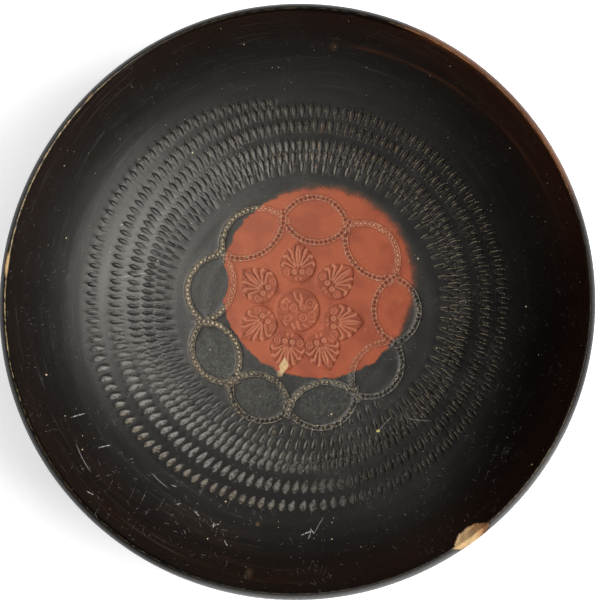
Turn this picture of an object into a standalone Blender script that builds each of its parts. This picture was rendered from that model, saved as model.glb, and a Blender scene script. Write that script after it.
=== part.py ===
"""Black-glazed bowl with a stamped medallion, one fired piece.

The wall is a turned profile, hollow down to its floor, on a ring foot with a
sunk underside. The floor carries a sunk roundel, seven palmettes and a chain
of nine links; a spiral of short strokes runs round them. The photograph looks
down on the bowl: its right is +X and its top is +Y. The foot stands on z = 0.
"""

import bpy
import bmesh
from math import asin, atan, atan2, cos, hypot, pi, radians, sin
from mathutils import Matrix, Vector

MM = 0.001

# Body
OUTER_RADIUS = 111.0 * MM
HEIGHT = 62.0 * MM
LIP_INSET = 2.3 * MM
LIP_ROUND = 1.1 * MM
SHOULDER_DROP = 4.5 * MM
LIP_WALL = 3.8 * MM
FLOOR_WALL = 6.5 * MM
CARINATION_INSET = 13.0 * MM
CARINATION_DROP = 16.5 * MM
WALL_BULGE = 0.7 * MM
FLOOR_CURVE = 1.6
TURN_STEPS = 48

# Ring foot
FOOT_RADIUS = 52.0 * MM
FOOT_FLARE = 1.2 * MM
FOOT_WIDTH = 5.0 * MM
FOOT_EDGE = 0.8 * MM
FOOT_SLANT = 2.5 * MM
RECESS_DEPTH = 9.0 * MM

# Roundel and palmettes, placed round the middle of the floor; shares are of a palmette's length
ROUNDEL_RADIUS = 8.5 * MM
ROUNDEL_DEPTH = 0.4 * MM
ROUNDEL_PETALS = 8
PALMETTE_ANGLES = [90.0, 37.6, -15.0, -58.6, -105.0, -159.3, 146.5]
PALMETTE_OUT = 18.2 * MM
PALMETTE_LENGTH = 15.9 * MM
PALMETTE_LEAVES = 4
PALMETTE_FAN = 26.0
HEART_SHARE = 0.3
LEAF_GAP_SHARE = 0.12
LEAF_SHARE = 0.62
LEAF_TAPER = 0.16
LEAF_WIDTH = 1.9 * MM
VOLUTE_LENGTH = 3.2 * MM
VOLUTE_WIDTH = 2.8 * MM
VOLUTE_SPREAD = 2.4 * MM
PETAL_LENGTH = 6.1 * MM
PETAL_WIDTH = 3.1 * MM
PETAL_OUT = 4.9 * MM
RELIEF = 0.5 * MM
LOWER_SHARE = 0.8

# Chain of links, stamped a little off the middle
CHAIN_CENTRE = Vector((1.5 * MM, -1.2 * MM))
CHAIN_LINKS = 9
CHAIN_TURN = 22.7
KNOT_RADIUS = 37.6 * MM
LINK_OUT = 45.0 * MM
LINK_IN = 27.7 * MM
BAND_WIDTH = 2.6 * MM
BAND_TAIL = 3.0 * MM
BAND_POINTS = 7
BAND_SINK = 0.06 * MM
CHAIN_MARGIN = 0.6 * MM

# Spiral of strokes
SPIRAL_RADIUS = 80.8 * MM
SPIRAL_START = 97.0
SPIRAL_TURNS = 5.3
SPIRAL_PITCH = 6.9 * MM
SPIRAL_CLOSE_PITCH = 4.2 * MM
SPIRAL_CLOSE_AFTER = 3.1
SPIRAL_SWING = 2.9 * MM
SPIRAL_SWING_PEAK = 0.85
STROKE_STEP = 6.0
STROKE_LENGTH = 5.4 * MM
STROKE_WIDTH = 1.8 * MM
STROKE_DEPTH = 0.5 * MM
STROKE_SLANT = 10.0
LENS_LIFT = 0.1 * MM

# Chips in the lip: angle, length along the lip, width across it, depth
LIP_CHIPS = [
    (-53.8, 17.0 * MM, 7.6 * MM, 3.2 * MM),
    (170.5, 6.0 * MM, 2.6 * MM, 1.2 * MM),
]

lip_radius = OUTER_RADIUS - LIP_INSET
shoulder_height = HEIGHT - SHOULDER_DROP
floor_height = RECESS_DEPTH + FLOOR_WALL
floor_radius = CHAIN_CENTRE.length + LINK_OUT + BAND_WIDTH / 2 + CHAIN_MARGIN
carination_radius = OUTER_RADIUS - CARINATION_INSET
carination_height = HEIGHT - CARINATION_DROP


def start_scene():
    """Empty the scene and add the two collections."""
    for old in list(bpy.data.objects):
        bpy.data.objects.remove(old, do_unlink=True)
    collections = []
    for name in ("black_glazed_bowl", "cutters"):
        collection = bpy.data.collections.new(name)
        bpy.context.scene.collection.children.link(collection)
        collections.append(collection)
    return collections


def glaze():
    material = bpy.data.materials.new("black_gloss")
    material.use_nodes = True
    shader = material.node_tree.nodes["Principled BSDF"]
    shader.inputs["Base Color"].default_value = (0.012, 0.010, 0.009, 1.0)
    shader.inputs["Roughness"].default_value = 0.3
    shader.inputs["Metallic"].default_value = 0.0
    return material


def inner_height(radius):
    """Height of the inner surface, from the flat floor to the soft bend in the wall."""
    if radius <= floor_radius:
        return floor_height
    share = (radius - floor_radius) / (carination_radius - floor_radius)
    return floor_height + (carination_height - floor_height) * share ** FLOOR_CURVE


def floor_points(steps=5):
    """Inner points from the edge of the flat floor to the carination."""
    span = carination_radius - floor_radius
    radii = [floor_radius + span * i / steps for i in range(steps + 1)]
    return [(radius, inner_height(radius)) for radius in radii]


def facet_place(x, y, points):
    """Height and slope of the faceted inner surface at a place on it."""
    facet = 2 * pi / TURN_STEPS
    offset = (atan2(y, x) % facet) - facet / 2
    radius = hypot(x, y) * cos(offset) / cos(facet / 2)
    for low, high in zip(points, points[1:]):
        if low[0] <= radius <= high[0]:
            slope = (high[1] - low[1]) / (high[0] - low[0])
            return low[1] + slope * (radius - low[0]), atan(slope)
    return inner_height(radius), 0.0


def inner_profile(wall_steps=3):
    """Inner points from the edge of the flat floor up to the lip."""
    points = floor_points()
    shoulder = (OUTER_RADIUS - LIP_WALL, shoulder_height)
    start = points[-1]
    for i in range(1, wall_steps + 1):
        share = i / wall_steps
        radius = start[0] + (shoulder[0] - start[0]) * share + WALL_BULGE * sin(pi * share)
        height = start[1] + (shoulder[1] - start[1]) * share
        points.append((radius, height))
    points.append((lip_radius, HEIGHT))
    return points


def height_at(points, radius):
    """Height of a run of points at a radius, between the two nearest."""
    for low, high in zip(points, points[1:]):
        if low[0] <= radius <= high[0]:
            return low[1] + (high[1] - low[1]) * (radius - low[0]) / (high[0] - low[0])
    return points[0][1]


def underside(inner):
    """Outer points under the wall, from the floor's edge up to the shoulder."""
    points = [(floor_radius, RECESS_DEPTH)]
    for before, here, after in zip(inner, inner[1:], inner[2:]):
        run = (after[0] - before[0], after[1] - before[1])
        size = hypot(*run)
        share = (OUTER_RADIUS - here[0]) / (OUTER_RADIUS - floor_radius)
        wall = LIP_WALL + (FLOOR_WALL - LIP_WALL) * share
        point = (here[0] + wall * run[1] / size, here[1] - wall * run[0] / size)
        if point[1] < shoulder_height - SHOULDER_DROP / 2:
            points.append(point)
    return points


def outer_profile(inner):
    """Outer points from the lip over the shoulder, down the wall and round the foot."""
    wall = underside(inner)
    neck = FOOT_RADIUS - FOOT_FLARE
    rest_inner = FOOT_RADIUS - FOOT_WIDTH
    lip = (lip_radius + LIP_ROUND, HEIGHT - SHOULDER_DROP / 4)
    points = [lip, (OUTER_RADIUS, shoulder_height)]
    points.extend(point for point in reversed(wall) if point[0] > FOOT_RADIUS + FOOT_EDGE)
    points.extend([
        (neck, height_at(wall, neck)),
        (FOOT_RADIUS, 2 * FOOT_EDGE),
        (FOOT_RADIUS - FOOT_EDGE, 0.0),
        (rest_inner, 0.0),
        (rest_inner - FOOT_SLANT, RECESS_DEPTH),
    ])
    return points


def fill_holes(mesh):
    """Close the flat floor and the underside with one face each."""
    bm = bmesh.new()
    bm.from_mesh(mesh)
    rims = [edge for edge in bm.edges if edge.is_boundary]
    bmesh.ops.holes_fill(bm, edges=rims, sides=0)
    bmesh.ops.recalc_face_normals(bm, faces=bm.faces)
    bm.to_mesh(mesh)
    bm.free()


def turned_body(collection, material):
    """The plain bowl, turned from its profile."""
    inner = inner_profile()
    points = inner + outer_profile(inner)
    profile = bpy.data.meshes.new("bowl_profile")
    edges = [(i, i + 1) for i in range(len(points) - 1)]
    profile.from_pydata([(radius, 0.0, height) for radius, height in points], edges, [])
    guide = bpy.data.objects.new("bowl_profile", profile)
    collection.objects.link(guide)
    screw = guide.modifiers.new("turn", "SCREW")
    screw.angle = 2 * pi
    screw.steps = TURN_STEPS
    screw.render_steps = TURN_STEPS
    screw.use_merge_vertices = True
    screw.merge_threshold = 0.0001
    graph = bpy.context.evaluated_depsgraph_get()
    mesh = bpy.data.meshes.new_from_object(guide.evaluated_get(graph))
    bpy.data.objects.remove(guide, do_unlink=True)
    fill_holes(mesh)
    mesh.name = "bowl"
    mesh.materials.clear()
    mesh.materials.append(material)
    bowl = bpy.data.objects.new("bowl", mesh)
    collection.objects.link(bowl)
    return bowl


def mesh_object(name, bm, collection, shown=True):
    mesh = bpy.data.meshes.new(name)
    bm.to_mesh(mesh)
    bm.free()
    made = bpy.data.objects.new(name, mesh)
    collection.objects.link(made)
    if not shown:
        made.hide_render = True
        made.display_type = "WIRE"
    return made


def lozenge(bm, place, length, width, depth, lift):
    """An eight-faced lens: the half beyond the surface is a leaf or a stroke.

    The lens sits off the surface by lift, so that only one of its ends crosses it.
    """
    reach = depth + abs(lift)
    grown = reach / depth
    size = Matrix.Diagonal((length * grown / 2, width * grown / 2, reach, 1.0))
    lifted = Matrix.Translation((0, 0, lift))
    bmesh.ops.create_uvsphere(bm, u_segments=4, v_segments=2, radius=1.0, matrix=place @ lifted @ size)


def floor_place(x, y, turn):
    """A place on the inner surface, turned about the upright."""
    height, slope = facet_place(x, y, floor_points())
    tilt = Matrix.Rotation(-slope, 4, "Y")
    around = atan2(y, x)
    return (
        Matrix.Translation((x, y, height))
        @ Matrix.Rotation(around, 4, "Z")
        @ tilt
        @ Matrix.Rotation(turn - around, 4, "Z")
    )


def spiral_radius(turns):
    """Middle of the stroke band after so many turns from its start."""
    close = max(turns - SPIRAL_CLOSE_AFTER, 0.0)
    drop = SPIRAL_PITCH * (turns - close) + SPIRAL_CLOSE_PITCH * close
    swing = SPIRAL_SWING * cos(2 * pi * (turns - SPIRAL_SWING_PEAK))
    return SPIRAL_RADIUS - drop + swing


def cut_strokes(bm):
    step = STROKE_STEP / 360.0
    for i in range(int(SPIRAL_TURNS / step)):
        turns = i * step
        around = radians(SPIRAL_START) + 2 * pi * turns
        radius = spiral_radius(turns)
        place = floor_place(radius * cos(around), radius * sin(around), around + radians(STROKE_SLANT))
        lozenge(bm, place, STROKE_LENGTH, STROKE_WIDTH, STROKE_DEPTH, LENS_LIFT)


def cut_roundel(bm):
    place = Matrix.Translation((0, 0, floor_height))
    bmesh.ops.create_cone(bm, cap_ends=True, segments=24, radius1=ROUNDEL_RADIUS, radius2=ROUNDEL_RADIUS,
                          depth=2 * ROUNDEL_DEPTH, matrix=place)


def cut_chips(bm):
    for angle, length, width, depth in LIP_CHIPS:
        around = radians(angle)
        centre = Vector((lip_radius * cos(around), lip_radius * sin(around), HEIGHT))
        place = Matrix.Translation(centre) @ Matrix.Rotation(around + pi / 2, 4, "Z")
        size = Matrix.Diagonal((length / 2, width / 2, depth, 1.0))
        bmesh.ops.create_icosphere(bm, subdivisions=1, radius=1.0, matrix=place @ size)


def raise_palmettes(bm):
    """Seven fans of leaves on two volutes, each pointing out from the roundel."""
    foot_out = PALMETTE_OUT - PALMETTE_LENGTH / 2
    for angle in PALMETTE_ANGLES:
        frame = floor_place(0.0, 0.0, radians(angle))
        heart = foot_out + HEART_SHARE * PALMETTE_LENGTH
        for leaf in range(-PALMETTE_LEAVES, PALMETTE_LEAVES + 1):
            turn = radians(leaf * PALMETTE_FAN)
            length = LEAF_SHARE * PALMETTE_LENGTH * (1.0 - LEAF_TAPER * abs(leaf))
            middle = LEAF_GAP_SHARE * PALMETTE_LENGTH + length / 2
            place = (
                frame
                @ Matrix.Translation((heart, 0, 0))
                @ Matrix.Rotation(turn, 4, "Z")
                @ Matrix.Translation((middle, 0, 0))
            )
            height = RELIEF * LOWER_SHARE ** ((leaf + PALMETTE_LEAVES) / (2 * PALMETTE_LEAVES))
            lozenge(bm, place, length, LEAF_WIDTH, height, -LENS_LIFT)
        for side in (-1, 1):
            place = frame @ Matrix.Translation((foot_out + VOLUTE_LENGTH / 2, side * VOLUTE_SPREAD, 0))
            lozenge(bm, place, VOLUTE_LENGTH, VOLUTE_WIDTH, RELIEF, -LENS_LIFT)


def raise_rosette(bm):
    for i in range(ROUNDEL_PETALS):
        turn = Matrix.Rotation(2 * pi * i / ROUNDEL_PETALS, 4, "Z")
        place = turn @ Matrix.Translation((PETAL_OUT, 0, floor_height - ROUNDEL_DEPTH))
        lozenge(bm, place, PETAL_LENGTH, PETAL_WIDTH, RELIEF, -LENS_LIFT)


def link_arc(apex_radius):
    """Centre radius and radius of the arc through two knots and an apex between them."""
    half_step = pi / CHAIN_LINKS
    half_chord = KNOT_RADIUS * sin(half_step)
    chord_out = KNOT_RADIUS * cos(half_step)
    rise = abs(apex_radius - chord_out)
    radius = (half_chord ** 2 + rise ** 2) / (2 * rise)
    side = 1 if apex_radius > chord_out else -1
    opening = asin(min(half_chord / radius, 1.0)) + BAND_TAIL / radius
    return apex_radius - side * radius, radius, side, opening


def chain_band(link, apex_radius, collection):
    """One band of the chain: a curve with a four-sided bevel, made flat."""
    centre_out, radius, side, opening = link_arc(apex_radius)
    heading = radians(CHAIN_TURN) + 2 * pi * (link + 0.5) / CHAIN_LINKS
    curve = bpy.data.curves.new("chain_band", "CURVE")
    curve.dimensions = "3D"
    curve.bevel_depth = BAND_WIDTH / 2
    curve.bevel_resolution = 0
    curve.use_fill_caps = True
    spline = curve.splines.new("POLY")
    spline.points.add(BAND_POINTS - 1)
    for i, point in enumerate(spline.points):
        turn = opening * (2 * i / (BAND_POINTS - 1) - 1)
        out = centre_out + side * radius * cos(turn)
        across = radius * sin(turn)
        x = CHAIN_CENTRE.x + out * cos(heading) - across * sin(heading)
        y = CHAIN_CENTRE.y + out * sin(heading) + across * cos(heading)
        point.co = (x, y, 0.0, 1.0)
    guide = bpy.data.objects.new("chain_band", curve)
    collection.objects.link(guide)
    graph = bpy.context.evaluated_depsgraph_get()
    mesh = bpy.data.meshes.new_from_object(guide.evaluated_get(graph))
    bpy.data.objects.remove(guide, do_unlink=True)
    return mesh


def raise_chain(bm, collection):
    for link in range(CHAIN_LINKS):
        for inward, apex_radius in enumerate((LINK_OUT, LINK_IN)):
            height = RELIEF - BAND_SINK * (link % 3 + inward / 2)
            mesh = chain_band(link, apex_radius, collection)
            flatten = Matrix.Diagonal((1.0, 1.0, 2 * height / BAND_WIDTH, 1.0))
            mesh.transform(Matrix.Translation((0, 0, floor_height)) @ flatten)
            bm.from_mesh(mesh)
            bpy.data.meshes.remove(mesh)
    bmesh.ops.remove_doubles(bm, verts=bm.verts, dist=0.00001)


def add_boolean(target, cutter, operation, crosses_itself=False):
    boolean = target.modifiers.new(operation.lower(), "BOOLEAN")
    boolean.operation = operation
    boolean.solver = "EXACT"
    boolean.use_self = crosses_itself
    boolean.object = cutter


def main():
    parts, cutters = start_scene()
    bowl = turned_body(parts, glaze())
    sunk = bmesh.new()
    cut_strokes(sunk)
    cut_roundel(sunk)
    cut_chips(sunk)
    sunk_object = mesh_object("sunk_work", sunk, cutters, shown=False)
    raised = bmesh.new()
    raise_chain(raised, cutters)
    raise_palmettes(raised)
    raise_rosette(raised)
    raised_object = mesh_object("raised_work", raised, cutters, shown=False)
    add_boolean(bowl, sunk_object, "DIFFERENCE", crosses_itself=True)
    add_boolean(bowl, raised_object, "UNION", crosses_itself=True)
    bowl.data.shade_smooth()
    bowl.data.set_sharp_from_angle(angle=radians(35))


main()
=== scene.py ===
"""Looks of the black-glazed bowl: its fine stamped relief, its glaze and its light."""

from math import asin, cos, hypot, pi, radians, sin

import bpy
import numpy as np
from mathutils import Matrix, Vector
from mathutils.geometry import delaunay_2d_cdt


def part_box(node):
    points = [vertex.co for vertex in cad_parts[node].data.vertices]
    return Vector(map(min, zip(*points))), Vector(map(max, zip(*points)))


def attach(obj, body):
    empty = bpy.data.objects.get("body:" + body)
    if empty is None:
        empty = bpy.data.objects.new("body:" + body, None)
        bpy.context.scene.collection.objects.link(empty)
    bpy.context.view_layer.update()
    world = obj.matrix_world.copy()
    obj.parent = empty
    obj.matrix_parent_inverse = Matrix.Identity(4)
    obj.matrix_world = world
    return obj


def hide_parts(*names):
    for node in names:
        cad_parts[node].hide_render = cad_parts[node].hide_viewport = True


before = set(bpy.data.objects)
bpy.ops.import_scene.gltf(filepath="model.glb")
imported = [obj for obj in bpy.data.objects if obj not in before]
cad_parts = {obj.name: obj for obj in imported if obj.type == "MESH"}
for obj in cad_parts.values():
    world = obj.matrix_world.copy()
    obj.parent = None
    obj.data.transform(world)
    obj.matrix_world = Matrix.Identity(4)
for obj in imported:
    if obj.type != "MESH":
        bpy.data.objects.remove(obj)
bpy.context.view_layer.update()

low_corner, high_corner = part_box("bowl")

# Lengths are in millimetres until the mesh is written
MM = 0.001
BODY_RADIUS = (high_corner[0] - low_corner[0]) / 2 / MM
HEIGHT = high_corner[2] / MM

# Body, as the solid has it
LIP_INSET = 2.3
SHOULDER_DROP = 4.5
LIP_WALL = 3.8
FLOOR_WALL = 6.5
CARINATION_INSET = 13.0
CARINATION_DROP = 16.5
FLOOR_CURVE = 1.6
FLOOR_RADIUS = 48.8
FOOT_RADIUS = 52.0
FOOT_FLARE = 1.2
FOOT_WIDTH = 5.0
FOOT_EDGE = 0.8
FOOT_SLANT = 2.5
RECESS_DEPTH = 9.0

# The hand-turned wall is a little out of round
ROUND_LOSS = 0.62
OVAL = 0.58
OVAL_ANGLE = radians(59.6)
THREE_LOBE = 0.26
WHEEL_RIPPLE = 0.035

# Inside, the hand-made floor is a shallow dish: radius, and steepness in degrees there
INSIDE_SLOPES = [
    (0.0, 0.0), (25.0, 3.6), (40.0, 7.0), (47.0, 9.5), (50.0, 11.0), (55.0, 15.0), (60.0, 20.0), (65.0, 24.5),
    (70.0, 27.5), (75.0, 29.0), (80.0, 31.0), (85.0, 35.0), (90.0, 41.0), (94.0, 45.0), (98.0, 50.0),
    (102.0, 54.5), (105.0, 60.0),
]

# Rows and columns of the mesh
COLUMNS = 340
CHIP_COLUMNS = 16
CHIP_STEP = 0.32
LATTICE_FLOOR = 1.3
LATTICE_WALL = 2.1
FLOOR_LATTICE_END = 85.5
BAND_ROWS = (0.0, -0.32, 0.32, -0.6, 0.6, -0.86, 0.86, -1.08, 1.08, -1.34, 1.34, -1.75, 1.75)

# Spiral of chattered strokes: degrees round from where it starts, and the radius of each turn there
SPIRAL_START = 97.0
SPIRAL_TURNS = 5.6
SPIRAL_RINGS = {
    97.0: (78.1,),
    108.0: (79.8,),
    120.0: (81.1, 74.8, 68.1, 61.4, 55.9, 53.2),
    150.0: (80.6, 72.6, 65.8, 59.4, 54.7, 51.5),
    180.0: (78.5, 69.6, 62.8, 57.7, 53.3, 50.0),
    240.0: (75.5, 67.9, 60.4, 56.2, 51.4, 47.6),
    300.0: (76.3, 69.6, 62.1, 58.5, 53.8, 47.5),
    360.0: (78.7, 72.4, 64.9, 61.0, 57.4),
    420.0: (77.2, 71.5, 65.1, 60.9, 57.2),
    450.0: (75.4, 70.1, 63.0, 59.0, 55.2),
}
STROKE_STEP = radians(2.66)
STROKE_STEP_SWING = 0.1
STROKE_STEP_END = radians(4.6)
STROKE_LEAN = radians(-7.0)
STROKE_LEAN_SWING = radians(8.0)
STROKE_LEAN_PEAK = radians(290.0)
STROKE_MIDDLE = 0.6
STROKE_DEEPEST = 0.76
STROKE_DEPTH = 0.46
STROKE_WALL = 0.4
STROKE_BURR = 0.1

# Turns along the spiral, and how long and how wide the strokes are there
STROKE_LENGTHS = ((0.0, 0.5, 1.0, 1.5, 2.5, 3.6, 4.4, 5.3), (4.4, 4.6, 5.2, 5.5, 5.6, 5.5, 5.2, 4.6))
STROKE_WIDTHS = ((0.0, 1.5, 2.6, 3.6, 4.4, 5.3), (2.1, 2.1, 1.95, 1.75, 1.35, 1.0))

# Chain of links
CHAIN_CENTRE = (1.5, -1.2)
CHAIN_LINKS = 9
KNOT_ANGLES = [21.0, 62.3, 100.7, 143.2, 185.0, 224.8, 262.3, 303.7, 341.9]
KNOT_RADIUS = 37.6
LINK_OUT = 45.0
LINK_IN = 27.7
# How far the beads are worn to pits, in the outer and the inner band of each link
BANDS_HOLLOW = [(0.0, 1.0), (1.0, 1.0), (0.0, 1.0), (0.0, 0.0), (0.4, 0.0), (1.0, 0.4), (1.0, 0.0),
                (1.0, 0.5), (1.0, 1.0)]
BAND_HALF = 1.2
BAND_DEPTH = 0.3
BAND_TAIL = 3.1
BEAD_PITCH = 1.75
BEAD_RADIUS = 0.55
PIT_RADIUS = 0.8
RIDGE_OUT = 0.92

# Roundel, and palmettes: angle and distance of the middle, heading, how much raised work is left
ROUNDEL_RADIUS = 8.5
ROUNDEL_DEPTH = 0.48
PALMETTES = [(90.0, 18.8, 90.0, 1.0), (37.6, 19.3, 38.0, 0.85), (-15.0, 18.3, 0.0, 0.75),
             (-58.6, 18.7, -73.0, 0.95), (-104.5, 16.6, -98.0, 1.0), (200.7, 16.8, 221.0, 1.0),
             (146.5, 18.7, 139.0, 1.0)]
PALMETTE_LENGTH = 15.9
PALMETTE_HALF = 7.1
PALMETTE_DEPTH = 0.5

# Inside the roundel: small rings, each a place and a radius, and stems
ROUNDEL_RINGS = [(-5.2, 1.6, 1.25), (-1.7, 0.9, 1.3), (4.6, 2.6, 1.5), (2.0, -2.9, 1.3), (-3.9, -2.9, 1.2),
                 (5.3, -1.6, 1.1), (-0.9, -5.6, 1.0), (1.9, 1.0, 0.9)]
ROUNDEL_STEMS = [
    [(-1.6, 6.9), (-1.0, 4.6), (0.6, 3.0), (0.9, 0.6)], [(0.9, 6.2), (1.3, 4.4), (1.2, 2.2)],
    [(-6.3, 3.2), (-4.6, 4.6), (-3.2, 3.2)], [(-5.6, -4.2), (-4.6, -5.6)], [(-2.4, -5.4), (-1.6, -7.0)],
    [(-0.4, -4.6), (0.4, -6.9)], [(1.9, -5.6), (3.4, -6.4)], [(4.2, -4.4), (6.2, -4.4)],
    [(6.2, 0.2), (7.2, 2.2)],
]

# How bright the studio is near the horizon, overhead, and at the left as a share
WORLD_LOW = 0.08
WORLD_HIGH = 0.5
WORLD_LEFT = 0.2
WORLD_RISE = (0.05, 0.75)
WORLD_FADE = (-0.9, 0.1)

# Flakes out of the lip: where, length, reach inwards and outwards, depth
LIP_CHIPS = [
    (-53.8, 15.8, 5.0, 3.5, 4.2),
    (171.8, 5.0, 1.5, 1.2, 0.7),
    (174.2, 3.5, 1.2, 1.0, 0.6),
    (136.0, 2.8, 0.9, 0.8, 0.5),
]

# The flake out of the floor, at a palmette's tip
FLAKE_PLACE = (-5.3, -21.8)
FLAKE_HALF = 1.9
FLAKE_LENGTH = 3.3
FLAKE_DEPTH = 0.5

body_radius = BODY_RADIUS - ROUND_LOSS
lip_radius = body_radius - LIP_INSET
shoulder_height = HEIGHT - SHOULDER_DROP
floor_height = RECESS_DEPTH + FLOOR_WALL
carination_radius = body_radius - CARINATION_INSET
carination_height = HEIGHT - CARINATION_DROP


def smooth(values):
    """Smooth step from 0 to 1."""
    clamped = np.clip(values, 0.0, 1.0)
    return clamped * clamped * (3.0 - 2.0 * clamped)


def curve_through(points, steps):
    """A smooth run through the points, with so many steps between two of them."""
    points = np.array(points, float)
    padded = np.vstack([2 * points[0] - points[1], points, 2 * points[-1] - points[-2]])
    made = []
    for i in range(1, len(points)):
        a, b, c, d = padded[i - 1:i + 3]
        for t in np.linspace(0.0, 1.0, steps, endpoint=False):
            made.append(0.5 * (2 * b + (c - a) * t + (2 * a - 5 * b + 4 * c - d) * t ** 2
                               + (3 * b - a - 3 * c + d) * t ** 3))
    made.append(points[-1])
    return np.array(made)


def placed(along, across, heading, centre=(0.0, 0.0)):
    """The place in plan that lies so far along a heading and across it from a centre."""
    return (centre[0] + along * cos(heading) - across * sin(heading),
            centre[1] + along * sin(heading) + across * cos(heading))


def ring_points(out, angles, *heights):
    """Points at distances and angles round the middle, with their heights if they have any."""
    return np.column_stack([out * np.cos(angles), out * np.sin(angles), *heights])


def own_frame(x, y, heading, centre=(0.0, 0.0)):
    """How far places lie along a heading and across it from a centre."""
    away_x = x - centre[0]
    away_y = y - centre[1]
    return (away_x * cos(heading) + away_y * sin(heading),
            away_y * cos(heading) - away_x * sin(heading))


def floor_run(count):
    """Points of the solid's floor, from the middle out to where the wall bends up."""
    radii = np.linspace(0.0, carination_radius, count)
    share = np.clip((radii - FLOOR_RADIUS) / (carination_radius - FLOOR_RADIUS), 0.0, None)
    return np.column_stack([radii, floor_height + (carination_height - floor_height) * share ** FLOOR_CURVE])


def inner_curve():
    """The solid's inside from the middle to the lip; the outside keeps the wall's thickness from it."""
    rise = shoulder_height - carination_height
    span = body_radius - LIP_WALL - carination_radius
    wall = [tuple(point) for point in floor_run(12)[-2:]]
    wall += [(carination_radius + 0.40 * span, carination_height + 0.33 * rise),
             (carination_radius + 0.73 * span, carination_height + 0.67 * rise),
             (body_radius - LIP_WALL, shoulder_height), (lip_radius, HEIGHT)]
    return np.vstack([floor_run(200), curve_through(wall, 20)[21:]])


INNER = inner_curve()


def inside_curve():
    """The dished inside as it was turned, from the middle to the lip."""
    radii = np.linspace(0.0, body_radius - LIP_WALL, 260)
    known = np.array(INSIDE_SLOPES)
    slope = np.tan(np.radians(np.interp(radii, known[:, 0], known[:, 1], right=62.0)))
    slope = np.convolve(np.pad(slope, 6, mode="edge"), np.ones(13) / 13, mode="valid")
    rise = np.concatenate([[0.0], np.cumsum((slope[1:] + slope[:-1]) / 2 * np.diff(radii))])
    height = rise + shoulder_height - rise[-1]
    lip = curve_through([(radii[-8], height[-8]), (radii[-1], height[-1]), (lip_radius - 0.25, HEIGHT - 1.7),
                         (lip_radius, HEIGHT)], 12)[12:]
    return np.vstack([np.column_stack([radii, height]), lip[1:]])


INSIDE = inside_curve()


def inner_height(radius):
    return np.interp(radius, INSIDE[:, 0], INSIDE[:, 1])


def outer_curve():
    """Outer points from the lip over the shoulder, down the wall, round the foot."""
    inner = INNER[INNER[:, 0] >= FLOOR_RADIUS]
    run = np.gradient(inner, axis=0)
    size = np.hypot(run[:, 0], run[:, 1])
    share = (body_radius - inner[:, 0]) / (body_radius - FLOOR_RADIUS)
    wall = LIP_WALL + (FLOOR_WALL - LIP_WALL) * share
    under = np.column_stack([inner[:, 0] + wall * run[:, 1] / size, inner[:, 1] - wall * run[:, 0] / size])
    under = under[(under[:, 1] < shoulder_height - 5.0) & (under[:, 0] > FOOT_RADIUS + 4.0)]
    under = under[::-1][::14]
    neck = FOOT_RADIUS - FOOT_FLARE
    rest_inner = FOOT_RADIUS - FOOT_WIDTH
    top = [(lip_radius, HEIGHT - 0.02), (lip_radius + 0.45, HEIGHT - 0.3), (lip_radius + 1.15, HEIGHT - 1.2),
           (body_radius - 0.45, shoulder_height + 1.9), (body_radius, shoulder_height),
           (body_radius - 0.5, shoulder_height - 2.4)]
    wall_run = curve_through([top[-1]] + [tuple(point) for point in under], 2)
    body = np.vstack([curve_through(top, 2)[:-1], wall_run])
    neck_height = RECESS_DEPTH + 1.0
    foot = curve_through([(neck + 1.6, neck_height + 0.1), (neck + 0.3, neck_height - 0.3),
                          (neck + 0.05, neck_height - 1.6), (neck + 0.5, 4.2), (FOOT_RADIUS, 1.7)], 2)
    rest = [(FOOT_RADIUS - 0.1, 0.9), (FOOT_RADIUS - 0.35, 0.3), (FOOT_RADIUS - FOOT_EDGE, 0.0),
            (FOOT_RADIUS - FOOT_WIDTH / 2, 0.0), (rest_inner, 0.0), (rest_inner - 0.3, 0.35)]
    recess = [(rest_inner - FOOT_SLANT * share, RECESS_DEPTH * share) for share in (0.2, 0.45, 0.7, 0.9)]
    ceiling = [(rest_inner - FOOT_SLANT - 0.6, RECESS_DEPTH)]
    ceiling += [(radius, RECESS_DEPTH - 0.5 * (1 - radius / 44.0) ** 2)
                for radius in (41, 36, 31, 26, 21, 16, 11, 6, 2)]
    return np.vstack([body, foot, rest, recess, ceiling])


def out_of_round(angle):
    """How far the hand-turned wall stands out at an angle."""
    return OVAL * np.cos(2 * (angle - OVAL_ANGLE)) - THREE_LOBE * np.sin(3 * angle)


def wobble(radius, angle, seed):
    """Gentle unevenness of the hand-turned surface, in millimetres."""
    return (0.10 * np.sin(2 * angle + 0.9 + seed) + 0.07 * np.sin(3 * angle - radius / 31.0 + 2.0 * seed)
            + 0.05 * np.sin(5 * angle + radius / 17.0 + seed)
            + WHEEL_RIPPLE * np.sin(radius / 0.95 + 0.6 * np.sin(angle + seed)))


def spiral_radius(turns):
    """How far out the spiral lies after so many turns."""
    known = sorted((turn + (degrees_round - SPIRAL_START) / 360.0, radius)
                   for degrees_round, radii in SPIRAL_RINGS.items() for turn, radius in enumerate(radii))
    return np.interp(turns, [turn for turn, radius in known], [radius for turn, radius in known])


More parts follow.
